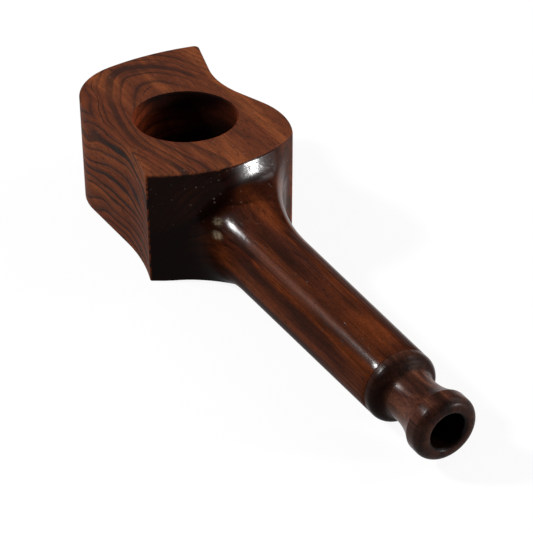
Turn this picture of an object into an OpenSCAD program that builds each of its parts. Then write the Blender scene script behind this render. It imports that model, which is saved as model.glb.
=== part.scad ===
// Small wooden tobacco pipe: a waved flat-topped block with a bored bowl and a
// round shank, a turned mouthpiece pushed into the shank, and a brass gauze.
// Millimetres. The bowl stands on the Z axis, the base lies on z = 0 and the
// shank runs along +X to the mouth.

/* [Bowl] */
// Inside diameter of the bowl
bowl_d = 18; // [15:0.5:20]
// Depth of the bowl's straight wall
bowl_depth = 10; // [8:0.1:10.4]
// Step from the bowl wall in to the seat of the gauze
seat_step = 0.8; // [0.5:0.1:1.2]
// Depth of that seat below the bowl's straight wall
seat_depth = 0.8; // [0.6:0.1:1]
// Width of the ledge that carries the gauze
ledge_w = 1.2; // [0.8:0.1:1.6]
// Diameter of the draught hole along the shank
airway_d = 4; // [3:0.1:4.4]

/* [Block] */
// Height of the block
block_h = 20.2; // [19.8:0.1:26]
// Reach of the front wall ahead of the bowl axis
nose_x = 18.7; // [16.5:0.1:22]
// Radius of the rounded front wall
nose_r = 25; // [22:0.5:40]
// Sideways place of the middle of the front wall
nose_y = -1.2; // [-3:0.1:1]
// How much further forward the front wall stands at the base
nose_lean = 1; // [0:0.1:2]
// Reach of the back wall behind the bowl axis
tail_x = 24.3; // [22:0.1:30]
// Radius of the back wall
tail_r = 45; // [36:1:60]
// Sideways place of the middle of the back wall
tail_y = 5.3; // [3:0.1:7]

/* [Wave] */
// Place of the crest on the right side along the block
crest_x = 7; // [5:0.1:9]
// Distance of the crest from the bowl axis
crest_y = 15.05; // [14:0.05:17]
// Radius of the crest
crest_r = 15; // [12:0.1:18]
// Place of the dip on the right side along the block
dip_x = -8.9; // [-11:0.1:-7]
// Distance of the dip from the bowl axis
dip_y = 11.4; // [11:0.1:12.5]
// Radius of the dip
dip_r = 17.5; // [14:0.1:22]
// Angle of the straight run from the dip to the back tip
tail_angle = 16.2; // [12:0.1:20]
// Radius of the round corner at the back on the left side
lobe_r = 13; // [12:0.1:15]
// Sideways place of the centre of that corner
lobe_y = -0.95; // [-2:0.05:0]
// Place of the hollow on the left side along the block
hollow_x = 4; // [2:0.1:6]
// Distance of the hollow from the bowl axis
hollow_y = 13.5; // [12.5:0.1:15]
// Radius of the hollow
hollow_r = 36; // [30:0.5:50]

/* [Shank] */
// Height of the shank axis above the base
axis_h = 6.8; // [6.8:0.05:7.2]
// Diameter of the shank at the front wall
shank_d = 13.4; // [12.4:0.1:13.5]
// Diameter of the shank at the joint with the mouthpiece
joint_d = 11.9; // [11.4:0.1:13]
// Distance of that joint from the bowl axis
joint_x = 67.5; // [50:0.5:90]
// Radius of the sweep between the front wall and the shank
sweep_r = 4.8; // [3:0.1:5.5]
// How much the sweep widens low on the left side
sweep_more = 3; // [0:0.1:5]
// Direction in which it widens most, where 180 is left and 270 is down
sweep_turn = 200; // [180:1:235]
// How much longer the sweep runs along the shank than across the wall
sweep_stretch = 1.6; // [1:0.05:2]

/* [Mouthpiece] */
// Length of the mouthpiece outside the shank
mouth_len = 13.4; // [12:0.1:18]
// Straight land next to the joint
land_len = 0.8; // [0.3:0.1:1.5]
// Radius of the rounded shoulder
shoulder_r = 1.7; // [1:0.1:2]
// Diameter at the waist
waist_d = 8; // [7.6:0.1:9]
// Distance of the waist from the joint
waist_at = 4.8; // [4:0.1:6]
// Radius of the cove between shoulder and lip
cove_r = 11.5; // [9:0.1:14]
// Diameter of the lip
lip_d = 10.8; // [10:0.1:13]
// Radius of the rounded lip edge
lip_round = 1.6; // [1:0.1:2]
// Diameter of the bore at the mouth
mouth_bore_d = 5.8; // [4.5:0.1:6]
// Diameter of the tenon in the shank
tenon_d = 8.4; // [7.6:0.1:8.8]
// Length of the tenon
tenon_len = 12; // [8:0.5:16]
// Clearance all round the tenon in its mortise
tenon_gap = 0.03; // [0.01:0.01:0.05]
// Clearance at the end of the tenon
tenon_end_gap = 0.5; // [0.2:0.1:2]

/* [Gauze] */
// Thickness of the brass disc
gauze_t = 0.4; // [0.3:0.05:0.8]
// Clearance between the disc and the wall of its seat
gauze_gap = 0.3; // [0.2:0.05:0.6]
// Diameter of each hole
hole_d = 1.1; // [0.8:0.1:1.2]
// Distance between neighbouring holes
hole_pitch = 1.6; // [1.45:0.05:2]

/* [Hidden] */
$fn = 96;
// How far a cut runs past the face that it opens, and a filling past the edge that it meets
over = 1;
// Longer than the block in every direction
far = 2 * (nose_x + tail_x);
bowl_r = bowl_d / 2;
floor_z = block_h - bowl_depth;
ledge_z = floor_z - seat_depth;
seat_r = bowl_r - seat_step;
cup_r = seat_r - ledge_w;
airway_r = airway_d / 2;
cup_z = axis_h - airway_r;
joint_r = joint_d / 2;
tenon_r = tenon_d / 2;
mortise_r = tenon_r + tenon_gap;
mortise_len = tenon_len + tenon_end_gap;
lip_r = lip_d / 2;
lip_at = mouth_len - lip_round;
hole_r = hole_d / 2;
hole_rings = floor((cup_r - hole_r) / hole_pitch) + 1;
// Steps of the sweep round the shank and from the shank to the wall
sweep_steps = 48;
sweep_rows = 6;
// How far the sweep sinks into the shank and the wall
bite = 0.1;
// How far the shank and the sweep reach back into the block
shank_root = 5;

// Centres of the arcs that bound the waved outline
nose_c = [nose_x - nose_r, nose_y];
tail_c = [tail_r - tail_x, tail_y];
crest_c = [crest_x, crest_y - crest_r];
dip_c = [dip_x, dip_y + dip_r];
hollow_c = [hollow_x, -hollow_y - hollow_r];
// The round corner touches the back wall from inside
lobe_c = [tail_c.x - sqrt(pow(tail_r - lobe_r, 2) - pow(tail_y - lobe_y, 2)), lobe_y];
lobe_end = tail_c + tail_r * (lobe_c - tail_c) / (tail_r - lobe_r);

// Unit normal of the straight run between a convex arc and a hollow one
function run_normal(round_c, round_r, bay_c, bay_r) =
    let (d = bay_c - round_c)
    let (turn = acos(min(1, (round_r + bay_r) / norm(d))))
    let (a = atan2(d.y, d.x) - turn)
    [cos(a), sin(a)];

right_n = run_normal(crest_c, crest_r, dip_c, dip_r);
left_n = run_normal(lobe_c, lobe_r, hollow_c, hollow_r);
crest_end = crest_c + crest_r * right_n;
dip_start = dip_c - dip_r * right_n;
dip_end = dip_c - dip_r * [sin(tail_angle), cos(tail_angle)];
tip_far = dip_end + tail_x * [-cos(tail_angle), sin(tail_angle)];
lobe_start = lobe_c + lobe_r * left_n;
hollow_end = hollow_c - hollow_r * left_n;

// Radius of the shank at a distance from the bowl axis
function shank_r(x) = (shank_d + (joint_d - shank_d) * (x - nose_x) / (joint_x - nose_x)) / 2;

// Place of the front wall at a point seen from the front
function wall_x(y, z) =
    nose_c.x + sqrt(pow(nose_r + nose_lean * (1 - z / block_h), 2) - pow(y - nose_y, 2));

// Upright cylinder as high as the block, or longer at both ends for a cut
module upright(centre, radius, more = 0) {
    translate([centre.x, centre.y, -more])
        cylinder(h = block_h + 2 * more, r = radius, $fn = 240);
}

// The block with its waved sides, before anything is bored
module waved_block() {
    intersection() {
        difference() {
            union() {
                linear_extrude(block_h)
                    polygon([
                        lobe_start,
                        hollow_end,
                        [far, hollow_end.y - tail_x],
                        [far, crest_c.y],
                        [crest_end.x, crest_c.y],
                        crest_end,
                        dip_start,
                        dip_end,
                        tip_far,
                        [-far, tip_far.y],
                        [-far, lobe_end.y],
                        [lobe_start.x, lobe_end.y]
                    ]);
                intersection() {
                    upright(crest_c, crest_r);
                    translate([crest_end.x - over, crest_c.y - over, 0])
                        cube([far, far, block_h]);
                }
                intersection() {
                    upright(lobe_c, lobe_r);
                    translate([lobe_start.x - far + over, lobe_end.y - far + over, 0])
                        cube([far, far, block_h]);
                }
            }
            upright(dip_c, dip_r, over);
            upright(hollow_c, hollow_r, over);
        }
        translate([nose_c.x, nose_c.y, 0])
            cylinder(h = block_h, r1 = nose_r + nose_lean, r2 = nose_r, $fn = 240);
        upright(tail_c, tail_r);
    }
}

// Turns a shape drawn round the Z axis so that it lies along the shank
module along_shank(x) {
    translate([x, 0, axis_h])
        rotate([0, 90, 0])
            children();
}

// Soft sweep between the front wall and the shank, wider low on the left side
function sweep_size(a) = sweep_r + sweep_more * pow(max(0, cos(a - sweep_turn)), 2);
function sweep_point(a, t) =
    let (r0 = shank_r(nose_x))
    let (s = sweep_size(a))
    let (corner = wall_x(r0 * cos(a), axis_h + r0 * sin(a)))
    let (tip = corner + s * sweep_stretch)
    let (r2 = r0 + s)
    let (foot = wall_x(r2 * cos(a), axis_h + r2 * sin(a)) - bite)
    let (r = pow(1 - t, 2) * shank_r(tip) + 2 * t * (1 - t) * shank_r(corner) + t * t * r2)
    let (rad = r - bite * (1 - t * t))
    let (x = pow(1 - t, 2) * tip + 2 * t * (1 - t) * corner + t * t * foot)
    [x, rad * cos(a), axis_h + rad * sin(a)];

module shank_sweep() {
    n = sweep_steps;
    rows = [
        for (j = [0 : sweep_rows])
            for (i = [0 : n - 1])
                sweep_point(i * 360 / n, j / sweep_rows)
    ];
    front = (sweep_rows + 1) * n;
    ends = [[nose_x, 0, axis_h], [nose_x - shank_root, 0, axis_h]];
    sides = [
        for (j = [0 : sweep_rows - 1])
            for (i = [0 : n - 1])
                let (k = (i + 1) % n)
                for (f = [
                    [j * n + i, j * n + k, (j + 1) * n + k],
                    [j * n + i, (j + 1) * n + k, (j + 1) * n + i]
                ]) f
    ];
    last = sweep_rows * n;
    caps = [
        for (i = [0 : n - 1])
            let (k = (i + 1) % n)
            for (f = [[front, k, i], [front + 1, last + i, last + k]]) f
    ];
    polyhedron(concat(rows, ends), concat(sides, caps), convexity = 4);
}

// Shank and sweep, level with the base where they reach down to it
module swept_shank() {
    root_x = nose_x - shank_root;
    intersection() {
        union() {
            along_shank(root_x)
                cylinder(h = joint_x - root_x, r1 = shank_r(root_x), r2 = joint_r);
            shank_sweep();
        }
        translate([0, -far, 0])
            cube([joint_x + far, 2 * far, block_h]);
    }
}

// Block and shank cut from one billet, with the bowl, cup, airway and mortise
module bowl_body() {
    color("#7a4226")
        difference() {
            union() {
                waved_block();
                swept_shank();
            }
            translate([0, 0, floor_z])
                cylinder(h = bowl_depth + over, r = bowl_r);
            translate([0, 0, ledge_z])
                cylinder(h = seat_depth + over, r = seat_r);
            translate([0, 0, cup_z])
                cylinder(h = ledge_z - cup_z, r1 = airway_r, r2 = cup_r);
            along_shank(0)
                cylinder(h = joint_x, r = airway_r);
            along_shank(joint_x - mortise_len)
                cylinder(h = mortise_len + over, r = mortise_r);
        }
}

// Turned mouthpiece with its tenon, shoulder, cove and rounded lip
module mouthpiece() {
    color("#4a2618")
        difference() {
            union() {
                along_shank(joint_x)
                    rotate_extrude()
                        union() {
                            square([joint_r, land_len]);
                            square([joint_r - shoulder_r, land_len + shoulder_r]);
                            intersection() {
                                translate([joint_r - shoulder_r, land_len])
                                    circle(r = shoulder_r);
                                translate([0, land_len])
                                    square([joint_r, shoulder_r]);
                            }
                            difference() {
                                square([lip_r, lip_at]);
                                translate([waist_d / 2 + cove_r, waist_at])
                                    circle(r = cove_r, $fn = 180);
                            }
                            square([lip_r - lip_round, mouth_len]);
                            intersection() {
                                translate([lip_r - lip_round, lip_at])
                                    circle(r = lip_round);
                                translate([0, lip_at])
                                    square([lip_r, lip_round]);
                            }
                        }
                along_shank(joint_x - tenon_len)
                    cylinder(h = tenon_len + land_len, r = tenon_r);
            }
            along_shank(joint_x - tenon_len - over)
                cylinder(h = tenon_len + mouth_len + 2 * over, r = mouth_bore_d / 2);
        }
}

// Pierced brass disc that lies on the ledge over the draught
module bowl_screen() {
    color("#a8843c")
        translate([0, 0, ledge_z])
            difference() {
                cylinder(h = gauze_t, r = seat_r - gauze_gap);
                for (i = [-2 * hole_rings : 2 * hole_rings])
                    for (j = [-2 * hole_rings : 2 * hole_rings])
                        let (at = hole_pitch * [i + j / 2, j * sqrt(3) / 2])
                        if (norm(at) + hole_r < cup_r)
                            translate([at.x, at.y, -over])
                                cylinder(h = gauze_t + 2 * over, r = hole_r, $fn = 24);
            }
}

bowl_body();
mouthpiece();
bowl_screen();
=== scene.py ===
# %% [markdown]
# # A small wooden pipe
# The object is a hand pipe cut from one billet of dark, reddish wood. A flat-topped block with two waved
# sides holds the bowl, a round shank grows out of its front wall, and a turned mouthpiece pushes into the
# end of the shank. A pierced brass disc lies under the bowl. This lesson dresses the CAD model in Blender:
# the CAD solids stay as the frame, and each visible piece is made again with eased edges and real finishes.

# %% Load the CAD frame
import math

import bmesh
import bpy
from mathutils import Matrix, Vector


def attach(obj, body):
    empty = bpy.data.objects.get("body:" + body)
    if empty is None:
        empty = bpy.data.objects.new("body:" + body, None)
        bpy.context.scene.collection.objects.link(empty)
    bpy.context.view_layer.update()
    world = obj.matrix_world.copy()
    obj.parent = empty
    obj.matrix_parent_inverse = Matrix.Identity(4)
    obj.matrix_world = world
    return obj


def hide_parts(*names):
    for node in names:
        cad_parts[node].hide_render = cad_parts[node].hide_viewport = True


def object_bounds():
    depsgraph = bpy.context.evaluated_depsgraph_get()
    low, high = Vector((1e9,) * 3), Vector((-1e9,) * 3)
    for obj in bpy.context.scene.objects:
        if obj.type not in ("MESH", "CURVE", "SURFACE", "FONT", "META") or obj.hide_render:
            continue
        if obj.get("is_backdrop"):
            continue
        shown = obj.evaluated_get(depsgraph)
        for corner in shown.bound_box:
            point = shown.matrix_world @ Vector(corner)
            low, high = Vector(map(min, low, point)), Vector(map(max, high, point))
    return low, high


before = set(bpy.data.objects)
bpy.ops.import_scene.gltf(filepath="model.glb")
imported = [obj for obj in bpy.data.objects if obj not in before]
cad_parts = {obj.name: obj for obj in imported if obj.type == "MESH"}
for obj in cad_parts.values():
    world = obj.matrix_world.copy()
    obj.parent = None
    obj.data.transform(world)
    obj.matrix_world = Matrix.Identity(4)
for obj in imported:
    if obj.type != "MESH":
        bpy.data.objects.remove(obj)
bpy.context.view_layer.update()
scene = bpy.context.scene
scene.view_settings.view_transform = "Standard"
MM = 0.001

# %% [markdown]
# ## Camera
# The picture was taken from the front left, a little above, with a long lens. The eye point and the view
# direction were fitted to the bowl's rim, the edges of the block and the outline of the shank, so the render
# can be laid over the photograph. A camera looks along its own minus Z, so the matrix takes minus forward.

# %% Place the camera
LENS = 118.2
EYE = Vector((0.23823, -0.12108, 0.16586))
FORWARD = Vector((-0.72217, 0.41626, -0.55243)).normalized()
ROLL = 0.001414
SENSOR_MM, NEAR_CLIP = 36.0, 0.01
PIPE_MIDDLE = Vector((0.028, 0, 0.01))

camera_data = bpy.data.cameras.new("camera")
camera_data.sensor_width = SENSOR_MM
camera_data.lens = LENS
camera_data.clip_start = NEAR_CLIP
camera = bpy.data.objects.new("camera", camera_data)
scene.collection.objects.link(camera)
level_right = FORWARD.cross(Vector((0, 0, 1))).normalized()
level_up = level_right.cross(FORWARD)
cam_right = (level_right + ROLL * level_up).normalized()
cam_up = (level_up - ROLL * level_right).normalized()
camera.matrix_world = Matrix((
    (cam_right.x, cam_up.x, -FORWARD.x, EYE.x),
    (cam_right.y, cam_up.y, -FORWARD.y, EYE.y),
    (cam_right.z, cam_up.z, -FORWARD.z, EYE.z),
    (0, 0, 0, 1),
))
scene.camera = camera
print("camera", round((EYE - PIPE_MIDDLE).length, 3), "m from the middle of the pipe")

# %% [markdown]
# ## Node helpers
# Every finish below is a small tree of shader nodes. A few helpers keep the trees readable. One makes a node
# and fills its sockets with values or links. The others make one step each: a product, the largest of some
# values, a soft step between two limits, a blend of two colours, a noise. A link knows the tree it belongs
# to, so a step needs no tree of its own and goes where its links are.

# %% Helpers for node trees
def add_node(tree, kind, sockets=None, **settings):
    made = tree.nodes.new(kind)
    for name, value in settings.items():
        setattr(made, name, value)
    for key, value in (sockets or {}).items():
        if isinstance(value, bpy.types.NodeSocket):
            tree.links.new(value, made.inputs[key])
        else:
            made.inputs[key].default_value = value
    return made


def step(kind, sockets, **settings):
    tree = next(v.id_data for v in sockets.values() if isinstance(v, bpy.types.NodeSocket))
    return add_node(tree, kind, sockets, **settings)


def calc(operation, *values, clamp=False):
    sockets = dict(enumerate(values))
    return step("ShaderNodeMath", sockets, operation=operation, use_clamp=clamp).outputs[0]


def times(first, *others):
    for value in others:
        first = calc("MULTIPLY", first, value)
    return first


def largest(first, *others):
    for value in others:
        first = calc("MAXIMUM", first, value)
    return first


def fade(value, start, end, low=0.0, high=1.0):
    sockets = {"Value": value, 1: start, 2: end, 3: low, 4: high}
    return step("ShaderNodeMapRange", sockets, interpolation_type="SMOOTHSTEP").outputs[0]


def fade_mm(value, start, end, low=0.0, high=1.0):
    return fade(value, start * MM, end * MM, low, high)


def split(value):
    return step("ShaderNodeSeparateXYZ", {0: value}).outputs[:3]


def blend_colour(factor, first, second, mode="MIX"):
    sockets = {0: factor, 6: first, 7: second}
    return step("ShaderNodeMix", sockets, data_type="RGBA", blend_type=mode).outputs[2]


def noise(place, scale, detail, rough=0.5):
    sockets = {"Vector": place, "Scale": scale, "Detail": detail, "Roughness": rough}
    return step("ShaderNodeTexNoise", sockets).outputs[0]


def new_material(name):
    material = bpy.data.materials.new(name)
    material.use_nodes = True
    material.node_tree.nodes.clear()
    return material


print("node helpers ready")

# %% [markdown]
# ## Floor and light
# The pipe lies on a plain white table. To keep the table white without pouring light on the dark wood, the
# floor shows its white only to camera, mirror and glass rays and gives little light back to the wood. The
# main lamp stands high on the left, and two weaker ones behind it carry its highlight on along the shank. A
# low lamp on the right lights the swelling of the front wall, a wide one fills the right side, and a small
# one on the left draws the glint in the mouthpiece. The world is white at the horizon and dim overhead.

# %% Make the floor
FLOOR_GLOW, FLOOR_BOUNCE = 0.90, 0.10
FLOOR_HALF, FLOOR_DROP = 3.0, 0.00002


def seen_or_mirrored(tree):
    path = add_node(tree, "ShaderNodeLightPath").outputs
    seen = calc("ADD", path["Is Camera Ray"], path["Is Glossy Ray"])
    return calc("ADD", seen, path["Is Transmission Ray"], clamp=True)


floor_paint = new_material("white_table")
tree = floor_paint.node_tree
matte = add_node(tree, "ShaderNodeBsdfDiffuse", {"Color": (FLOOR_BOUNCE, FLOOR_BOUNCE, FLOOR_BOUNCE, 1)})
glow = step("ShaderNodeEmission", {"Strength": times(seen_or_mirrored(tree), FLOOR_GLOW)})
table_top = step("ShaderNodeAddShader", {0: matte.outputs[0], 1: glow.outputs[0]})
step("ShaderNodeOutputMaterial", {"Surface": table_top.outputs[0]})

corners = [(x * FLOOR_HALF, y * FLOOR_HALF, -FLOOR_DROP) for x, y in ((-1, -1), (1, -1), (1, 1), (-1, 1))]
floor_mesh = bpy.data.meshes.new("floor")
floor_mesh.from_pydata(corners, [], [(0, 1, 2, 3)])
floor_mesh.materials.append(floor_paint)
floor = bpy.data.objects.new("floor", floor_mesh)
scene.collection.objects.link(floor)
floor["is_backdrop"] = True
print("floor", 2 * FLOOR_HALF, "m wide")

# %% Hang the lamps and light the world
LAMP_TARGET, LAMP_REACH = Vector((0.02, 0.0, 0.012)), 0.7
LAMPS = (
    ("main_lamp", (-0.42, -0.63, 0.65), 0.09, 3.9),
    ("middle_lamp", (-0.54, -0.55, 0.64), 0.06, 0.6),
    ("back_lamp", (-0.78, -0.39, 0.49), 0.06, 0.15),
    ("low_lamp", (0.73, 0.65, 0.18), 0.095, 3.6),
    ("right_lamp", (0.20, 0.82, 0.53), 0.50, 2.2),
    ("side_lamp", (0.12, -0.72, 0.69), 0.05, 0.4),
)
for name, direction, width, watts in LAMPS:
    data = bpy.data.lights.new(name, "AREA")
    data.shape = "DISK"
    data.size = width
    data.energy = watts
    lamp = bpy.data.objects.new(name, data)
    away = Vector(direction).normalized()
    turned = away.to_track_quat("Z", "Y").to_matrix().to_4x4()
    lamp.matrix_world = Matrix.Translation(LAMP_TARGET + LAMP_REACH * away) @ turned
    scene.collection.objects.link(lamp)
    print(name, "at", [round(v, 3) for v in lamp.matrix_world.translation])

HORIZON, OVERHEAD, FILL = 0.07, 0.20, 0.13
world = bpy.data.worlds.new("studio")
scene.world = world
world.use_nodes = True
tree = world.node_tree
tree.nodes.clear()
climb = split(add_node(tree, "ShaderNodeTexCoord").outputs["Generated"])[2]
strength = fade(climb, HORIZON, OVERHEAD, 1.0, FILL)
sky = step("ShaderNodeBackground", {"Color": (1, 1, 1, 1), "Strength": strength})
step("ShaderNodeOutputWorld", {"Surface": sky.outputs[0]})

# %% [markdown]
# ## The figure of the wood
# The billet is flat sawn: its growth layers lie as shallow domes, so the flat top cuts them in nested
# arches and the side wall cuts them in long, nearly level lines. A solid texture gives both from one rule.
# The height of a point over its dome is z + y*y / 18 plus a bow along the block, and a dark line is drawn
# each time that height passes one more layer. Noise bends the domes and varies the strength of the lines.
# Because the rule works in the object's own space, in millimetres, the figure runs on round every edge
# without any UV map.

# %% Measure the height of a point over its growth layer
BEND_SIZE, BEND_MM = (0.05, 0.11, 0.11), (0.0, 4.5, 3.0)
CROWN_X, CROWN_END, CROWN_SOFT, CROWN_BOW = 4.0, 9.0, 4.0, 0.0125
TURN_IN_X, TURN_IN_Z, TURN_IN_MM = (3.0, 17.0), (15.5, 20.2), 2.8
DOME_MM, UNEVEN_MM, UNEVEN_SCALE = 18.0, 1.6, 0.5


def vector(operation, first, second):
    return step("ShaderNodeVectorMath", {0: first, 1: second}, operation=operation).outputs[0]


def cloud(spot, scale, detail=2.0, rough=0.5):
    return noise(vector("MULTIPLY", spot, scale), 1.0, detail, rough)


def bent_spot(spot):
    sockets = {"Vector": vector("MULTIPLY", spot, BEND_SIZE), "Scale": 1.0}
    swirl = step("ShaderNodeTexNoise", sockets).outputs["Color"]
    bend = vector("SUBTRACT", swirl, (0.5, 0.5, 0.5))
    return vector("ADD", spot, vector("MULTIPLY", bend, BEND_MM))


def layer_height(bent):
    x, y, z = split(bent)
    from_crown = calc("SUBTRACT", calc("SMOOTH_MIN", x, CROWN_END, CROWN_SOFT), CROWN_X)
    bow = times(from_crown, from_crown, CROWN_BOW)
    turn_in = times(fade(x, *TURN_IN_X, 0.0, TURN_IN_MM), fade(z, *TURN_IN_Z))
    aside = calc("SUBTRACT", y, turn_in)
    dome = calc("DIVIDE", times(aside, aside), DOME_MM)
    height = calc("ADD", calc("ADD", z, dome), bow)
    sockets = {"W": height, "Scale": UNEVEN_SCALE, "Detail": 1.0}
    uneven = step("ShaderNodeTexNoise", sockets, noise_dimensions="1D").outputs[0]
    return calc("MULTIPLY_ADD", calc("SUBTRACT", uneven, 0.5), UNEVEN_MM, height)


print("growth layers lie as domes of y*y /", DOME_MM)

# %% Draw the dark lines of the layers
LAYER_MM, LAYER_START, THIN_MM = 2.05, 23.9, 0.62
LINE_ENDS = 0.10
LINE_SHAPE = ((0.22, 0.0), (0.38, 0.30), (0.48, 1.0), (0.54, 0.85), (0.62, 0.48), (0.80, 0.22))
QUIET_Y, QUIET_X, QUIETER = (1.0, 7.0), (-15.0, -9.0), 0.65
TOP_EDGE, TOP_LINES, WALL_LINES, THIN_LINES = (20.1, 19.6), 0.85, 1.3, 0.9


def layer_lines(spot, height, strength):
    layers = calc("DIVIDE", calc("SUBTRACT", height, LAYER_START), LAYER_MM)
    ramp = step("ShaderNodeValToRGB", {0: calc("FRACT", calc("ADD", layers, 0.5))})
    points = ramp.color_ramp.elements
    for point in points:
        point.color = (LINE_ENDS, LINE_ENDS, LINE_ENDS, 1)
    for at, dark in LINE_SHAPE:
        points.new(at).color = (dark, dark, dark, 1)
    x, y, z = split(spot)
    quiet_side = times(fade(y, *QUIET_Y), fade(x, *QUIET_X), QUIETER)
    vary = fade(cloud(spot, (0.05, 0.16, 0.16)), 0.36, 0.60, 0.60, 1.0)
    on_walls = fade(z, *TOP_EDGE, TOP_LINES, WALL_LINES)
    return times(ramp.outputs[0], vary, calc("SUBTRACT", 1.0, quiet_side), on_walls, strength)


def thin_lines(spot, height, strength):
    counted = calc("DIVIDE", height, THIN_MM)
    sockets = {"W": calc("FLOOR", counted)}
    luck = step("ShaderNodeTexWhiteNoise", sockets, noise_dimensions="1D").outputs[0]
    off_line = calc("ABSOLUTE", calc("SUBTRACT", calc("FRACT", counted), 0.5))
    patchy = fade(cloud(spot, (0.07, 0.3, 0.3)), 0.38, 0.58)
    drawn = times(fade(off_line, 0.20, 0.05), fade(luck, 0.40, 0.85), patchy)
    return times(drawn, THIN_LINES, strength)


print("a layer every", LAYER_MM, "mm and thin lines every", THIN_MM, "mm")

# %% [markdown]
# ## Streaks, fibres, pores and painted glints
# Along the shank the layers are cut lengthwise, so there the lines give way to long streaks. The broadest
# pale and dark ones have a place of their own; one pale streak runs along the line of the highlight on the
# shank and is partly a painted highlight. Two small cream spots where the shank leaves the block are painted
# reflections. The mouthpiece reads the billet 60 mm further along, and there the last dark one lies on its
# shoulder as a ring of painted shade.
# Fibres, sanding marks and a soft mottling vary the tone everywhere, and short open pores and flecks lie
# along the grain. All of it goes into one shader group, so every finish shows the same billet.

# %% Lay the streaks along the shank
SHANK_FROM, BROAD_PART, FINE_PART = (18.0, 28.0), 0.62, 0.38
PALE_STREAKS_AND_HIGHLIGHT = (
    ((44, -6.4, 6.6), (26, 2.2, 1.3), 0.95),
    ((61, -0.5, 12.6), (9, 3.2, 2.5), 0.95),
    # Partly grain and partly painted highlight: this pale streak follows the line of the highlight on the
    # shank and warms it.
    ((46, -4.0, 11.8), (26, 1.0, 0.9), 0.8),
    ((27, 1.5, 14.0), (9, 2.6, 3.0), 0.8),
)
DARK_STREAKS_AND_SHADE = (
    ((46, -5.9, 9.3), (32, 1.8, 1.6), 0.62),
    ((34, -1.8, 13.0), (15, 1.6, 1.4), 0.65),
    ((46, -5.6, 4.6), (30, 2.0, 0.9), 0.7),
    ((-20, 2.0, 20.0), (2.2, 8.0, 3.0), 0.55),
    # Painted shade: a dark ring on the mouthpiece's shoulder, which turns away from the light.
    ((128.8, 9.0, 10.8), (2.4, 20.0, 20.0), 0.70),
)


def spread(spot, centre, reach):
    away = vector("DIVIDE", vector("SUBTRACT", spot, centre), reach)
    far = step("ShaderNodeVectorMath", {0: away}, operation="LENGTH").outputs["Value"]
    return fade(far, 1.0, 0.25)


def streaked(spot, line):
    broad = times(cloud(spot, (0.014, 0.30, 0.30)), BROAD_PART)
    streaks = calc("MULTIPLY_ADD", cloud(spot, (0.03, 1.0, 1.0), 3.0), FINE_PART, broad)
    fine = fade(cloud(spot, (0.035, 1.5, 1.5), 3.0), 0.48, 0.66, 0.0, 0.65)
    streaks = largest(fade(streaks, 0.42, 0.66, 0.0, 0.85), fine)
    along_shank = fade(split(spot)[0], *SHANK_FROM)
    line = calc("MULTIPLY_ADD", calc("SUBTRACT", streaks, line), along_shank, line)
    dull = fade(cloud(spot, (0.035, 0.22, 0.22)), 0.33, 0.57)
    for centre, reach, amount in PALE_STREAKS_AND_HIGHLIGHT:
        kept = calc("SUBTRACT", 1.0, times(spread(spot, centre, reach), amount))
        line, dull = times(line, kept), times(dull, kept)
    for centre, reach, amount in DARK_STREAKS_AND_SHADE:
        line = largest(line, times(spread(spot, centre, reach), amount))
    return calc("MINIMUM", line, 1.0), dull


print(len(PALE_STREAKS_AND_HIGHLIGHT), "pale and", len(DARK_STREAKS_AND_SHADE), "dark streaks")

# %% Add pores, flecks and painted glints
PORE_SIZE, PORE_SHARE, PORE_DARK, PORE_COLOUR = (0.42, 3.4, 3.4), 0.34, 0.6, (0.005, 0.003, 0.002, 1)
FLECK_SIZE, FLECK_END, LIGHTER = (0.15, 1.4, 1.4), (58.0, 34.0), (1.7, 1.6, 1.3, 1)
DARK_FLECKS, LIGHT_FLECKS = (0.66, 0.65), (0.25, 0.35)
# Painted reflections: two cream glints beside the highlight where the shank leaves the block.
PAINTED_GLINTS = (
    ((21.9, -5.8, 12.3), (1.5, 1.3, 1.1), 0.80),
    ((23.0, -6.5, 10.5), (1.8, 1.4, 0.9), 0.66),
)
GLINT_CREAM = (0.68, 0.54, 0.35, 1)


def cells(place, size):
    sockets = {"Vector": vector("MULTIPLY", place, size), "Scale": 1.0}
    made = step("ShaderNodeTexVoronoi", sockets).outputs
    return made["Distance"], step("ShaderNodeSeparateColor", {0: made["Color"]}).outputs[0]


def open_pores(spot):
    distance, luck = cells(spot, PORE_SIZE)
    return times(fade(distance, 0.30, 0.16), calc("GREATER_THAN", luck, 1 - PORE_SHARE))


def flecked(spot, bent, colour, pale, dark):
    distance, luck = cells(bent, FLECK_SIZE)
    x = split(spot)[0]
    on_shank = times(fade(x, *SHANK_FROM), fade(x, *FLECK_END))
    fleck = times(fade(distance, 0.40, 0.10), on_shank)
    light_wood = blend_colour(1.0, pale, LIGHTER, "MULTIPLY")
    darker = times(fleck, calc("GREATER_THAN", luck, DARK_FLECKS[0]), DARK_FLECKS[1])
    lighter = times(fleck, calc("LESS_THAN", luck, LIGHT_FLECKS[0]), LIGHT_FLECKS[1])
    return blend_colour(lighter, blend_colour(darker, colour, dark), light_wood)


# Lays the two cream glints of painted reflection over the wood.
def painted_glint(spot, colour):
    patchy = fade(cloud(spot, (1.3, 1.6, 1.6), 3.0, 0.6), 0.40, 0.60, 0.15, 1.0)
    for centre, reach, amount in PAINTED_GLINTS:
        glint_share = times(spread(spot, centre, reach), amount, patchy)
        colour = blend_colour(glint_share, colour, GLINT_CREAM)
    return colour


# The two cream spots are painted reflections.
print(len(PAINTED_GLINTS), "worn spots beside the shank")

# %% Put the figure together as a shader group
FIBRE_TONE, SAND_TONE, MOTTLE_TONE = (0.76, 1.20), (0.78, 1.22), (0.90, 1.10)


def grey(value):
    return step("ShaderNodeCombineColor", {0: value, 1: value, 2: value}).outputs[0]


def darkened(colour, amount):
    return blend_colour(1.0, colour, grey(amount), "MULTIPLY")


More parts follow.
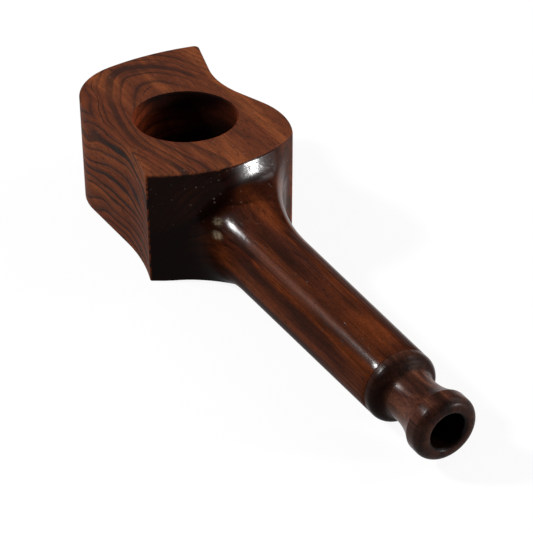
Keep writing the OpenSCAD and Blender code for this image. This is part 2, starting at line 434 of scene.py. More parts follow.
def wood_figure_group():
    group = bpy.data.node_groups.new("wood_figure", "ShaderNodeTree")
    inputs = {"Pale": "Color", "Warm": "Color", "Dark": "Color", "Shift": "Vector", "Lines": "Float"}
    for name, kind in inputs.items():
        group.interface.new_socket(name, in_out="INPUT", socket_type="NodeSocket" + kind)
    for name, kind in (("Color", "Color"), ("Pores", "Float"), ("Fibre", "Float")):
        group.interface.new_socket(name, in_out="OUTPUT", socket_type="NodeSocket" + kind)
    given = add_node(group, "NodeGroupInput").outputs
    place = add_node(group, "ShaderNodeTexCoord").outputs["Object"]
    spot = vector("ADD", vector("MULTIPLY", place, (1 / MM, 1 / MM, 1 / MM)), given["Shift"])
    bent = bent_spot(spot)
    height = layer_height(bent)
    lines = layer_lines(spot, height, given["Lines"]), thin_lines(spot, height, given["Lines"])
    line, dull = streaked(spot, largest(*lines))

    fibre = cloud(spot, (0.10, 2.4, 2.4), 4.0, 0.6)
    sand = cloud(spot, (3.0, 5.0, 5.0), 2.0, 0.6)
    mottle = cloud(spot, (0.35, 0.90, 0.90), 4.0, 0.6)
    tone = times(fade(fibre, 0.3, 0.7, *FIBRE_TONE), fade(sand, 0.3, 0.7, *SAND_TONE),
                 fade(mottle, 0.35, 0.65, *MOTTLE_TONE))
    colour = darkened(blend_colour(dull, given["Pale"], given["Warm"]), tone)
    colour = blend_colour(line, colour, given["Dark"])
    pores = open_pores(spot)
    colour = blend_colour(times(pores, PORE_DARK), colour, PORE_COLOUR)
    # The two cream spots laid on here are painted reflections.
    colour = painted_glint(spot, flecked(spot, bent, colour, given["Pale"], given["Dark"]))
    step("NodeGroupOutput", {"Color": colour, "Pores": pores, "Fibre": fibre})
    return group


wood_figure = wood_figure_group()
print("wood figure:", len(wood_figure.nodes), "nodes")

# %% [markdown]
# ## Wood finishes
# The same billet shows three finishes. The top and the waved walls are only sanded, so they are satin and
# the open grain shows as small scratches and pores. The front wall, the shank and the mouthpiece were
# buffed, which closes the grain and darkens the wood, and end grain, which drinks the most wax, comes out
# darkest. The darkening of faces that look forward is partly that end grain and partly painted shade, as
# these faces turn away from the lamps; painted shade also darkens the left of the front and the foot of the
# sweep, painted light keeps the right of the front lighter, and painted shade darkens the mouthpiece's bore.
# Where a hand or a cloth rubs most, the wax shines: a coat of the shader gives that gloss, and a mask says
# where. Inside the bowl the wood is sooted, and painted shade darkens it towards the back and with depth.
# Dust lies on the front, and its top edge is chipped.

# %% Darken the end grain, paint shade and light on the front, and paint shade into the bore and the sooted bowl
AXIS_H = 6.8
# Limits for the end grain, for the painted shade and painted light on the front, for the painted shade in the
# bore, and for the soot and painted shade in the bowl.
LEFT_TURN, LEFT_SHADE, RIGHT_LIT, RIGHT_KEPT = (-0.5, -5.0), 0.40, (3.0, 11.0), 0.35
WALL_FOOT, WALL_LEFT, WALL_FOOT_SHADE = (27.5, 20.5), (-1.5, -6.0), 0.74
CHIP_EDGE, CHIP_SCALE, CHIPPED, CHIP_WOOD = (19.62, 19.90), 700.0, 0.6, (0.13, 0.030, 0.011, 1)
BORE_FADE, BORE_KEPT = 0.7, 0.08
SOOT_SHADE_ACROSS, SOOT_SHADE_BACK, SOOT_SHADE_SIDE, SOOT_SHADE_KEPT = (0.50, 0.87), (25.2, 17.2), (10.5, 19.0), (0.04, 0.03)
SOOT_SHADE_CLIMB, SOOT_SHADE_LEAN = 0.9, 0.55


# Faces that look forward are darkened: partly end grain, partly painted shade where they turn away from the
# lamps. Painted shade darkens the left and the foot of the sweep on the left, painted light keeps the right
# lighter, and chips along the top edge show lighter wood.
def end_grain_and_painted_shade(place, facing, colour, warm, start, full, kept, evened):
    x, y, z = split(place)
    turned = calc("ADD", facing, fade_mm(y, *LEFT_TURN, 0.0, LEFT_SHADE))
    ends = fade(turned, start, full, 0.0, 1 - kept)
    ends = times(ends, fade_mm(y, *RIGHT_LIT, 1.0, RIGHT_KEPT))
    sweep_foot_shade = times(fade_mm(x, *WALL_FOOT), fade_mm(y, *WALL_LEFT, 0.0, WALL_FOOT_SHADE))
    ends = largest(ends, sweep_foot_shade)
    colour = blend_colour(times(ends, evened), colour, (*warm, 1))
    colour = darkened(colour, calc("SUBTRACT", 1.0, ends))
    nicks = noise(place, CHIP_SCALE, 4.0, 0.6)
    chips = times(fade_mm(z, *CHIP_EDGE), fade(nicks, 0.45, 0.65, 0.0, CHIPPED))
    return blend_colour(chips, colour, CHIP_WOOD)


# Painted shade: the wood inside the mouthpiece's bore is darkened, as no light reaches into the hole.
def painted_bore_shade(place, colour, radius):
    _, y, z = split(place)
    up = calc("SUBTRACT", z, AXIS_H * MM)
    out = calc("SQRT", calc("ADD", times(y, y), times(up, up)))
    return darkened(colour, fade_mm(out, radius, radius + BORE_FADE, BORE_KEPT, 1.0))


# Soot and painted shade in the bowl: the wood darkens towards the back of the bowl, most near the rim, and
# with depth, the darkening reaching higher up the wall on the right than on the left.
def sooted_and_shaded(place, colour):
    x, y, z = split(place)
    near, far = SOOT_SHADE_ACROSS
    behind = calc("SUBTRACT", times(y, near), times(x, far))
    behind = calc("MULTIPLY_ADD", z, SOOT_SHADE_CLIMB, behind)
    colour = darkened(colour, fade_mm(behind, *SOOT_SHADE_BACK, SOOT_SHADE_KEPT[0], 1.0))
    aside = calc("ADD", times(x, near), times(y, far))
    soot_and_shade_depth = calc("SUBTRACT", z, times(aside, SOOT_SHADE_LEAN))
    return darkened(colour, fade_mm(soot_and_shade_depth, *SOOT_SHADE_SIDE, SOOT_SHADE_KEPT[1], 1.0))


print("end grain, bore and soot ready")

# %% Scatter the dust
DUST = (0.28, 0.22, 0.19, 1)
DUST_SPECKS = ((800.0, 0.20), (1400.0, 0.34))
DUST_LOW, DUST_SHANK, DUST_LEFT = (8.0, 14.0), (22.0, 26.0), 0.2
DUST_FILM, FILM_Z = 0.022, (19.7, 20.1)


def dusted(place, colour, amount):
    speck = 0.0
    for scale, share in DUST_SPECKS:
        specks = step("ShaderNodeTexVoronoi", {"Vector": place, "Scale": scale}).outputs
        luck = step("ShaderNodeSeparateColor", {0: specks["Color"]}).outputs[1]
        seen = times(fade(specks["Distance"], 0.20, 0.08), fade(luck, 1.0 - share, 1.0))
        speck = largest(speck, seen)
    x, _, z = split(place)
    lies = times(speck, fade_mm(z, *DUST_LOW, DUST_LEFT, 1.0),
                 fade_mm(x, *DUST_SHANK, 1.0, DUST_LEFT), amount)
    film = fade_mm(z, *FILM_Z, 0.0, DUST_FILM)
    return blend_colour(largest(lies, film), colour, DUST)


print("dust in", len(DUST_SPECKS), "sizes")

# %% Say where the wax shines
CREST_UP, CREST_SIDE, CREST_END = (0.50, 0.72), (0.30, 0.05), (74.0, 76.5)
CREST_DULL, DULLED, OFF_WALL, PAST_WALL = (40.0, 62.0), 0.65, (0.42, 0.28), (60.0, 64.0)
BROW_FRONT, BROW_UP, BROW_LOW, BROW_TOP = (0.6, 0.8), (0.20, 0.45), (15.8, 17.6), (19.6, 19.85)
BROW_LEFT, BROW_RIGHT, BROW_KEPT = (-4.0, 1.0), (9.0, 5.5), 0.3
BROW_EDGE, BROW_GAIN = (0.55, 0.70), (2.5, 0.5)
FRONT_TURN, CHEEK_Y, CHEEK, HAZE_UP = (0.2, 0.5), (5.0, 9.0), 0.22, (0.40, 0.60)
FRONT_HAZE, SHANK_HAZE, HAZE_X = 0.08, 0.07, (26.0, 34.0)
JOINT_DULL, JOINT_CLEAR = (66.0, 68.0), (75.0, 79.0)
FLANK_SIDE, FLANK, FLANK_END = (0.45, 0.80), 0.5, (70.0, 74.0)


def wax_mask(place, normal, amount):
    x, y, z = split(place)
    facing, sideways, upward = split(normal)
    off_wall = largest(fade(facing, *OFF_WALL), fade_mm(x, *PAST_WALL))
    crest = times(fade(upward, *CREST_UP, 0.0, amount), fade(sideways, *CREST_SIDE),
                  fade_mm(x, *CREST_END, 1.0, 0.0), fade_mm(x, *CREST_DULL, 1.0, DULLED),
                  off_wall)
    brow = times(fade(facing, *BROW_FRONT), fade(upward, *BROW_UP, 0.0, amount),
                 fade_mm(y, *BROW_LEFT), fade_mm(y, *BROW_RIGHT, BROW_KEPT, 1.0),
                 fade_mm(z, *BROW_LOW), fade_mm(z, *BROW_TOP, 1.0, 0.0),
                 fade(upward, *BROW_EDGE, *BROW_GAIN))
    cheek = times(fade(facing, *FRONT_TURN), fade_mm(y, *CHEEK_Y, 0.0, CHEEK))
    haze = fade(facing, *FRONT_TURN, 0.0, FRONT_HAZE)
    haze = times(haze, fade(upward, *HAZE_UP, 1.0, 0.0))
    haze = largest(haze, fade_mm(x, *HAZE_X, 0.0, SHANK_HAZE))
    off_joint = largest(fade_mm(x, *JOINT_DULL, 1.0, 0.0), fade_mm(x, *JOINT_CLEAR))
    flank = times(fade(sideways, *FLANK_SIDE, 0.0, FLANK), fade_mm(x, *FLANK_END, 1.0, 0.0))
    return largest(crest, brow, cheek, times(haze, off_joint), flank)


print("wax mask ready")

# %% Put a finish together
FIBRE_BUMP, PORE_ROUGH = 0.35, 0.15
DENT_SCALE, DENT_X, DENTS = 1500.0, (26.0, 32.0), (1.5, 0.5)


def wood_finish(name, pale, warm, dark, rough, grain_depth, ior, shift=(0, 0, 0), lines=1.0, dust=0.0,
                end_grain_and_shade=None, bore=0.0, soot_and_shade=False, wax=None):
    material = new_material(name)
    tree = material.node_tree
    figure = add_node(tree, "ShaderNodeGroup", node_tree=wood_figure)
    for key, tone in (("Pale", pale), ("Warm", warm), ("Dark", dark)):
        figure.inputs[key].default_value = (*tone, 1)
    figure.inputs["Shift"].default_value = shift
    figure.inputs["Lines"].default_value = lines
    colour, pores, fibre = (figure.outputs[key] for key in ("Color", "Pores", "Fibre"))
    place = add_node(tree, "ShaderNodeTexCoord").outputs["Object"]
    normal = add_node(tree, "ShaderNodeNewGeometry").outputs["Normal"]
    roughness = calc("MULTIPLY_ADD", pores, PORE_ROUGH, fade(fibre, 0.3, 0.7, *rough))
    # End grain darkening with painted shade and painted light, painted shade in the bore, and soot with
    # painted shade in the bowl.
    if end_grain_and_shade:
        start, full, kept, rougher, evened = end_grain_and_shade
        facing = split(normal)[0]
        colour = end_grain_and_painted_shade(place, facing, colour, warm, start, full, kept, evened)
        roughness = calc("ADD", roughness, fade(facing, start, full, 0.0, rougher))
    if dust:
        colour = dusted(place, colour, dust)
    if bore:
        colour = painted_bore_shade(place, colour, bore)
    if soot_and_shade:
        colour = sooted_and_shaded(place, colour)

    def bump(height):
        sockets = {"Height": height, "Distance": grain_depth * MM, "Strength": 1.0}
        return step("ShaderNodeBump", sockets).outputs[0]

    grain = calc("SUBTRACT", times(fibre, FIBRE_BUMP), pores)
    sockets = {"Base Color": colour, "Roughness": roughness, "Normal": bump(grain), "IOR": ior}
    if wax:
        dents = fade_mm(split(place)[0], *DENT_X, *DENTS)
        dented = calc("MULTIPLY_ADD", noise(place, DENT_SCALE, 3.0, 0.6), dents, grain)
        sockets["Coat Roughness"], amount = wax
        sockets["Coat Weight"] = wax_mask(place, normal, amount)
        sockets["Coat Normal"] = bump(dented)
    shader = step("ShaderNodeBsdfPrincipled", sockets)
    step("ShaderNodeOutputMaterial", {"Surface": shader.outputs[0]})
    print(name, "made")
    return material


# %% Make the four woods
sanded_wood = wood_finish(
    "sanded_wood", (0.177, 0.046, 0.014), (0.106, 0.025, 0.009), (0.012, 0.006, 0.005),
    (0.52, 0.66), 0.05, 1.10, dust=0.25)
# The buffed and turned woods darken their end grain and carry painted shade and painted light.
buffed_wood = wood_finish(
    "buffed_wood", (0.112, 0.025, 0.0068), (0.045, 0.011, 0.0052), (0.008, 0.003, 0.002),
    (0.17, 0.25), 0.012, 1.015, dust=0.32, end_grain_and_shade=(0.40, 0.97, 0.20, 0.02, 0.65), wax=(0.175, 0.40))
# The turned wood also gets painted shade in the mouthpiece's bore.
turned_wood = wood_finish(
    "turned_wood", (0.112, 0.039, 0.021), (0.076, 0.025, 0.0155), (0.008, 0.0035, 0.003),
    (0.20, 0.28), 0.010, 1.1, shift=(60, 9, 4), lines=0.6, dust=0.4,
    end_grain_and_shade=(0.12, 0.70, 0.38, 0.20, 0.0), bore=3.0, wax=(0.26, 0.22))
# The bowl wood is sooted and carries painted shade.
bowl_wood = wood_finish(
    "bowl_wood", (0.255, 0.052, 0.015), (0.150, 0.026, 0.008), (0.020, 0.006, 0.003),
    (0.60, 0.75), 0.06, 1.12, lines=0.7, soot_and_shade=True)

# %% [markdown]
# ## Outline of the block
# Seen from above, the block is a chain of arcs: the nose at the front, a shallow hollow along the left, a
# full lobe at the back left, the long tail arc, a straight run and a dip on the right, and the crest. The
# arcs are the same as in the CAD model, so the visual block fits its solid. Points are in millimetres here
# and become metres when the mesh is made.

# %% Work out the arcs of the outline
def flat(x, y):
    return Vector((x, y))


def run_normal(round_c, round_r, bay_c, bay_r):
    across = bay_c - round_c
    angle = math.atan2(across.y, across.x) - math.acos((round_r + bay_r) / across.length)
    return flat(math.cos(angle), math.sin(angle))


NOSE_X, BACK_X, CREST_Y, DIP_Y, HOLLOW_Y, LOBE_Y = 18.7, -24.3, 15.05, 11.4, -13.5, -0.95
NOSE_R, TAIL_R, CREST_R, DIP_R, HOLLOW_R, LOBE_R = 25.0, 45.0, 15.0, 17.5, 36.0, 13.0
NOSE_C = flat(NOSE_X - NOSE_R, -1.2)
TAIL_C = flat(TAIL_R + BACK_X, 5.3)
CREST_C = flat(7.0, CREST_Y - CREST_R)
DIP_C = flat(-8.9, DIP_Y + DIP_R)
HOLLOW_C = flat(4.0, HOLLOW_Y - HOLLOW_R)
TAIL_ANGLE = math.radians(16.2)

lobe_in = math.sqrt((TAIL_R - LOBE_R) ** 2 - (TAIL_C.y - LOBE_Y) ** 2)
LOBE_C = flat(TAIL_C.x - lobe_in, LOBE_Y)
lobe_end = TAIL_C + TAIL_R * (LOBE_C - TAIL_C) / (TAIL_R - LOBE_R)
right_n = run_normal(CREST_C, CREST_R, DIP_C, DIP_R)
left_n = run_normal(LOBE_C, LOBE_R, HOLLOW_C, HOLLOW_R)
crest_end = CREST_C + CREST_R * right_n
dip_start = DIP_C - DIP_R * right_n
dip_end = DIP_C - DIP_R * flat(math.sin(TAIL_ANGLE), math.cos(TAIL_ANGLE))
lobe_start = LOBE_C + LOBE_R * left_n
hollow_end = HOLLOW_C - HOLLOW_R * left_n

run_dir = flat(-math.cos(TAIL_ANGLE), math.sin(TAIL_ANGLE))
to_tail = dip_end - TAIL_C
half_b = to_tail.dot(run_dir)
run_len = -half_b + math.sqrt(half_b ** 2 - to_tail.length_squared + TAIL_R ** 2)
back_tip = dip_end + run_len * run_dir
print("back tip at", [round(v, 2) for v in back_tip])

# %% [markdown]
# ## Walls, row by row
# The walls are built in level rows. Each row is the outline at that height, because the front wall leans
# back by a millimetre and its corners move with it. The three upright corners are eased by a small curve
# between points a little before and after the corner, as a sanding block leaves them.

# %% Helpers for arcs and corners
BLOCK_H, NOSE_LEAN, CORNER_STEPS = 20.2, 1.0, 6


def stops(start, end, count):
    return [start + (end - start) * k / count for k in range(count + 1)]


def nose_radius(z):
    return NOSE_R + NOSE_LEAN * (1 - z / BLOCK_H)


def circles_meet(first_c, first_r, second_c, second_r, side):
    across = second_c - first_c
    gap = across.length
    along = (first_r ** 2 - second_r ** 2 + gap ** 2) / (2 * gap)
    off = math.sqrt(first_r ** 2 - along ** 2)
    unit = across / gap
    return first_c + along * unit + side * off * flat(-unit.y, unit.x)


def front_corners(z):
    lefts = [circles_meet(NOSE_C, nose_radius(z), HOLLOW_C, HOLLOW_R, side) for side in (1, -1)]
    rights = [circles_meet(NOSE_C, nose_radius(z), CREST_C, CREST_R, side) for side in (1, -1)]
    return max(lefts, key=lambda p: p.x), max(rights, key=lambda p: p.y)


def arc(centre, start, end, steps, trim_start=0.0, trim_end=0.0):
    radius = (start - centre).length
    a0 = math.atan2(start.y - centre.y, start.x - centre.x)
    a1 = math.atan2(end.y - centre.y, end.x - centre.x)
    turn = (a1 - a0 + math.pi) % (2 * math.pi) - math.pi
    way = 1 if turn > 0 else -1
    a0, turn = a0 + way * trim_start / radius, turn - way * (trim_start + trim_end) / radius
    angles = [a0 + turn * k / steps for k in range(steps + 1)]
    return [centre + radius * flat(math.cos(a), math.sin(a)) for a in angles]


def eased_corner(before, corner, after):
    marks = stops(0, 1, CORNER_STEPS)
    return [(1 - t) ** 2 * before + 2 * t * (1 - t) * corner + t * t * after for t in marks]


corner_points = [tuple(round(c, 2) for c in p) for p in front_corners(BLOCK_H)]
print("front corners of the top at", corner_points)

# %% Draw one row of the walls
CORNER_EASE, BACK_EASE = 0.32, 1.2
ARC_STEPS, TAIL_STEPS, RUN_STEPS, JOIN_STEPS = 44, 40, 12, 6


def wall_row(z):
    left, right = front_corners(z)
    hollow = arc(HOLLOW_C, left, hollow_end, ARC_STEPS, trim_start=CORNER_EASE)
    tail = arc(TAIL_C, lobe_end, back_tip, TAIL_STEPS, trim_end=BACK_EASE)
    crest = arc(CREST_C, crest_end, right, ARC_STEPS, trim_end=CORNER_EASE)
    leave_tip = back_tip - BACK_EASE * run_dir
    straight = [leave_tip.lerp(dip_end, t) for t in stops(0, 1, RUN_STEPS)]
    nose = arc(NOSE_C, left, right, 2, CORNER_EASE, CORNER_EASE)
    row = eased_corner(nose[0], left, hollow[0])
    row += hollow[1:]
    row += [hollow_end.lerp(lobe_start, t) for t in stops(0, 1, JOIN_STEPS)[1:]]
    row += arc(LOBE_C, lobe_start, lobe_end, ARC_STEPS)[1:]
    row += tail[1:]
    row += eased_corner(tail[-1], back_tip, leave_tip)[1:]
    row += straight[1:]
    row += arc(DIP_C, dip_end, dip_start, TAIL_STEPS)[1:]
    row += [dip_start.lerp(crest_end, t) for t in stops(0, 1, JOIN_STEPS)[1:]]
    row += crest[1:]
    row += eased_corner(crest[-1], right, nose[-1])[1:]
    return row


print("a wall row has", len(wall_row(BLOCK_H)), "points")

# %% [markdown]
# ## Front wall, sweep and shank
# The front is one flowing surface: the wall curves forward into the round shank through a generous sweep,
# which is fuller on the right and at the base, and longest at the upper left. A polar grid round the shank's
# axis follows it best. Each ray starts on the shank, takes the sweep as a three-point curve and runs out
# along the wall to the edge of the block. Buffing has also rounded the upper part of the wall, so a swelling
# is added there. It falls back to the edge with a soft start and then an even slope, which holds the light.

# %% Shape the wall and the sweep
SHANK_D, JOINT_D, JOINT_X = 13.4, 11.9, 67.5
SWEEP_R, SWEEP_RIGHT, SWEEP_LEFT, SWEEP_LOW = 4.0, 4.5, 0.5, 6.6
STRETCH, STRETCH_LONG, STRETCH_LOW = 1.6, 1.6, -0.15
RIGHT_TURN, LONG_TURN = math.radians(10), math.radians(128)
LOW_FULL = 0.7
TOP_EASE, BASE_EASE = 0.25, 0.1
SWELL, SWELL_FROM, SWELL_SOFT, SWELL_Y, SWELL_FLAT = 1.40, 16.0, 0.45, 2.9, 3.5
SWELL_LEFT, SWELL_RIGHT, SWELL_FOOT, SWELL_GROWS = 11.0, 9.0, 6.0, 10.0


def smooth(t):
    t = min(max(t, 0.0), 1.0)
    return t * t * (3 - 2 * t)


def shank_radius(x):
    return (SHANK_D + (JOINT_D - SHANK_D) * (x - NOSE_X) / (JOINT_X - NOSE_X)) / 2


def front_x(y, z):
    plain = NOSE_C.x + math.sqrt(max(nose_radius(z) ** 2 - (y - NOSE_C.y) ** 2, 0.0))
    half = SWELL_LEFT if y < SWELL_Y else SWELL_RIGHT
    across = smooth((half - abs(y - SWELL_Y)) / (half - SWELL_FLAT))
    rise = min(max((z - SWELL_FROM) / (BLOCK_H - TOP_EASE - SWELL_FROM), 0.0), 1.0)
    soft = min(rise / SWELL_SOFT, 1.0)
    fall = SWELL_SOFT * (soft ** 3 - soft ** 4 / 2) + max(rise - SWELL_SOFT, 0.0)
    return plain + SWELL * across * (1 - fall / (1 - SWELL_SOFT / 2)) * smooth((z - SWELL_FOOT) / SWELL_GROWS)


def towards(angle, middle):
    return max(0.0, math.cos(angle - middle)) ** 2


def sweep_shape(angle):
    low = smooth(-math.sin(angle) / LOW_FULL)
    size = SWEEP_R + SWEEP_RIGHT * towards(angle, RIGHT_TURN) + SWEEP_LEFT * towards(angle, math.pi)
    size += (SWEEP_LOW - size) * low
    return size, STRETCH + STRETCH_LONG * towards(angle, LONG_TURN) + STRETCH_LOW * low


print("swelling of", SWELL, "mm above", SWELL_FROM, "mm, sweep of", SWEEP_R, "mm and more")

# %% Give each ray of the front its profile
EDGE_KEEP = 0.4
SWEEP_STEPS, WALL_STEP, PROBE = 80, 0.15, 0.02


def evenly_spaced(path, rows):
    walk = [0.0]
    for (x0, r0), (x1, r1) in zip(path, path[1:]):
        walk.append(walk[-1] + math.hypot(x1 - x0, r1 - r0))
    spaced, at = [], 0
    for want in stops(0, walk[-1], rows):
        while at < len(walk) - 2 and walk[at + 1] < want:
            at += 1
        part = (want - walk[at]) / max(walk[at + 1] - walk[at], 1e-9)
        (x0, r0), (x1, r1) = path[at], path[at + 1]
        spaced.append((x0 + (x1 - x0) * part, r0 + (r1 - r0) * part))
    return spaced


def on_axis(x, r, angle):
    return x, r * math.cos(angle), AXIS_H + r * math.sin(angle)


def ray_profile(angle, reach, rows, to_wall=True):
    size, stretch = sweep_shape(angle)
    r_root = shank_radius(NOSE_X)
    if to_wall:
        size = min(size, reach - r_root - EDGE_KEEP)
    r_foot = r_root + size

    def wall_at(r):
        return front_x(*on_axis(0, r, angle)[1:])

    foot = wall_at(r_foot)
    lean = (wall_at(r_foot + PROBE) - wall_at(r_foot - PROBE)) / (2 * PROBE)
    corner = foot - lean * size
    tip = corner + size * stretch
    ends = (tip, shank_radius(tip)), (corner, shank_radius(corner)), (foot, r_foot)
    path = []
    for t in stops(0, 1, SWEEP_STEPS):
        w = ((1 - t) ** 2, 2 * t * (1 - t), t * t)
        path.append(tuple(sum(w[i] * ends[i][axis] for i in range(3)) for axis in (0, 1)))
    r = r_foot
    while r < reach:
        r = min(r + WALL_STEP, reach)
        path.append((wall_at(r), r))
    cut = [path[0]]
    for (x0, r0), (x1, r1) in zip(path, path[1:]):
        if r1 >= reach:
            part = (reach - r0) / (r1 - r0)
            cut.append((x0 + (x1 - x0) * part, reach))
            break
        cut.append((x1, r1))
    return [on_axis(x, r, angle) for x, r in evenly_spaced(cut, rows)]


upwards = ray_profile(math.pi / 2, BLOCK_H - AXIS_H, 4)
print("the ray straight up:", [tuple(round(c, 2) for c in p) for p in upwards])

# %% [markdown]
# ## The block and shank as one mesh
# Level rows make the walls, rings make the flat top and base, a revolved profile makes the bowl with the
# step and ledge for the brass disc, and the polar grid makes the front. All the grids share their border
# points, so merging doubles closes the skin. The long bore through the shank comes last, as a cut, because
# it meets the bowl's cup in a curve that no grid would follow.

# %% Helpers for the skin of the body
SANDED, BUFFED, SOOTED_AND_SHADED = 0, 1, 2
EASE_ROWS = 4
skin = bmesh.new()


def grid(rows, finish, closed=False):
    made = [[skin.verts.new([c * MM for c in point]) for point in row] for row in rows]
    for low, high in zip(made, made[1:]):
        count = len(low)
        for k in range(count if closed else count - 1):
            n = (k + 1) % count
            face = skin.faces.new((low[k], low[n], high[n], high[k]))
            face.material_index = finish
    return made


def cap(ring, middle, finish):
    hub = skin.verts.new([c * MM for c in middle])
    for k, vert in enumerate(ring):
        face = skin.faces.new((vert, ring[(k + 1) % len(ring)], hub))
        face.material_index = finish


def eased_rows(loop, edge_z, ease, up):
    count = len(loop)
    rows = []
    for turn in stops(0, math.pi / 2, EASE_ROWS):
        row = []
        for i, point in enumerate(loop):
            along = (loop[(i + 1) % count] - loop[i - 1]).normalized()
            inset = ease * (1 - math.cos(turn))
            moved = point - inset * flat(-along.y, along.x)
            row.append((moved.x, moved.y, edge_z + up * (-ease + ease * math.sin(turn))))
        rows.append(row)
    return rows


def ray_to(y, z):
    return math.atan2(z - AXIS_H, y), math.hypot(y, z - AXIS_H)


print("skin started")

# %% Build the walls and the front
WALL_ROWS, FRONT_ROWS, TOP_POINTS, BASE_POINTS = 22, 34, 56, 48
heights = stops(BASE_EASE, BLOCK_H - TOP_EASE, WALL_ROWS)
walls = [wall_row(z) for z in heights]
grid([[(p.x, p.y, z) for p in row] for row, z in zip(walls, heights)], SANDED)

top_z = heights[-1]
left_top, right_top = front_corners(top_z)
nose_edge = arc(NOSE_C, right_top, left_top, TOP_POINTS, CORNER_EASE, CORNER_EASE)
top_loop = walls[-1] + nose_edge[1:-1]

border = [(row[0].y, z) for row, z in zip(walls, heights)]
border += [(p.y, top_z) for p in reversed(nose_edge[1:-1])]
border += [(row[-1].y, z) for row, z in zip(reversed(walls), reversed(heights))]
rays = [ray_to(y, z) for y, z in border]
drop = AXIS_H - BASE_EASE
low_right, low_left = rays[-1][0], rays[0][0]
if low_left > 0:
    low_left -= 2 * math.pi
for angle in stops(low_right, low_left, BASE_POINTS)[1:-1]:
    rays.append((angle, drop / abs(math.sin(angle))))
front = [ray_profile(angle, reach, FRONT_ROWS, k < len(border)) for k, (angle, reach) in enumerate(rays)]
grid([[ray[k] for ray in front] for k in range(FRONT_ROWS + 1)], BUFFED, closed=True)
print(len(rays), "rays on the front,", len(walls[0]), "columns on the walls")

# %% Add the shank
SHANK_ROWS, END_EASE, END_ROWS, END_RING_R = 24, 0.05, 3, 4.6
SHANK_END = JOINT_X - END_EASE
angles = [angle for angle, _ in rays]
columns = [stops(ray[0][0], SHANK_END, SHANK_ROWS) for ray in front]
shank = [[on_axis(x, shank_radius(x), a) for x, a in zip(row, angles)] for row in zip(*columns)]
end_r = shank_radius(SHANK_END)
for turn in stops(0, math.pi / 2, END_ROWS)[1:]:
    x, r = SHANK_END + END_EASE * math.sin(turn), end_r - END_EASE * (1 - math.cos(turn))
    shank.append([on_axis(x, r, angle) for angle in angles])
shank.append([on_axis(JOINT_X, END_RING_R, angle) for angle in angles])
cap(grid(shank, BUFFED, closed=True)[-1], (JOINT_X, 0, AXIS_H), BUFFED)
print("shank", len(shank), "rows long, its end", round(2 * end_r, 2), "mm across")

# %% Add the top, the bowl and the base
BOWL_R, RIM_EASE, FLOOR_Z, LEDGE_Z, SEAT_R = 9.0, 0.25, 10.2, 9.4, 8.2
CUP_R, CUP_Z, AIRWAY_R, STEP_EASE = 7.0, 4.8, 2.0, 0.1
BOWL_STEPS, CUP_STEPS, MERGE_MM = 8, 5, 0.002
HOLD, TOP_SHARES, BASE_SHARES = 0.08, (0.0, 0.25, 0.5, 0.75, 1.0), (0.01, 0.35, 0.7)

top_rows = eased_rows(top_loop, BLOCK_H, TOP_EASE, 1)
edge = [Vector(p) for p in top_rows[-1]]
spokes = [Vector((p.x, p.y, 0)).normalized() for p in edge]
rim = [spoke * (BOWL_R + RIM_EASE) + Vector((0, 0, BLOCK_H)) for spoke in spokes]
for share in TOP_SHARES:
    row = []
    for outer, inner in zip(edge, rim):
        span = (outer - inner).length
        t = (HOLD + (span - 2 * HOLD) * share) / span
        row.append(tuple(outer.lerp(inner, t)))
    top_rows.append(row)
top_rows.append([tuple(p) for p in rim])
grid(top_rows, SANDED, closed=True)

bowl = []
for turn in stops(0, math.pi / 2, EASE_ROWS):
    bowl.append((BOWL_R + RIM_EASE * (1 - math.sin(turn)), BLOCK_H - RIM_EASE * (1 - math.cos(turn))))
bowl += [(BOWL_R, z) for z in stops(BLOCK_H - RIM_EASE, FLOOR_Z, BOWL_STEPS)[1:]]
bowl += [(SEAT_R + STEP_EASE, FLOOR_Z), (SEAT_R, FLOOR_Z - STEP_EASE), (SEAT_R, LEDGE_Z)]
bowl += [(CUP_R + STEP_EASE, LEDGE_Z), (CUP_R - STEP_EASE / 2, LEDGE_Z - STEP_EASE)]
bowl += list(zip(stops(CUP_R, AIRWAY_R, CUP_STEPS), stops(LEDGE_Z, CUP_Z, CUP_STEPS)))[1:]
bowl_rows = grid([[(s.x * r, s.y * r, z) for s in spokes] for r, z in bowl], SOOTED_AND_SHADED, closed=True)
cap(bowl_rows[-1], (0, 0, CUP_Z), SOOTED_AND_SHADED)

base_loop = walls[0] + [flat(ray[-1][0], ray[-1][1]) for ray in front[-(BASE_POINTS - 1):]]
base_rows = eased_rows(base_loop, 0.0, BASE_EASE, -1)
for share in BASE_SHARES:
    base_rows.append([(x * (1 - share), y * (1 - share), z) for x, y, z in base_rows[EASE_ROWS]])
cap(grid(base_rows, SANDED, closed=True)[-1], (0, 0, 0), SANDED)

bmesh.ops.remove_doubles(skin, verts=skin.verts, dist=MERGE_MM * MM)
bmesh.ops.recalc_face_normals(skin, faces=skin.faces)
open_edges = sum(1 for e in skin.edges if len(e.link_faces) != 2)
volume = round(skin.calc_volume(signed=True) / MM ** 3)
print("skin:", len(skin.faces), "faces,", open_edges, "open edges,", volume, "mm3")

# %% [markdown]
# ## The bore
# The airway and the wider mortise for the tenon are turned as one stepped rod and cut out of the body with
# the exact Boolean, which keeps the skin closed. The rod is removed afterwards, and the cut walls take the
# dark finish of the bowl.

# %% Helpers for finished meshes
def mesh_object(name, mesh):
    made = bpy.data.objects.new(name, mesh)
    scene.collection.objects.link(made)
    return made


def settled(source, name):
    graph = bpy.context.evaluated_depsgraph_get()
    mesh = bpy.data.meshes.new_from_object(source.evaluated_get(graph))
    mesh.name = name
    return mesh


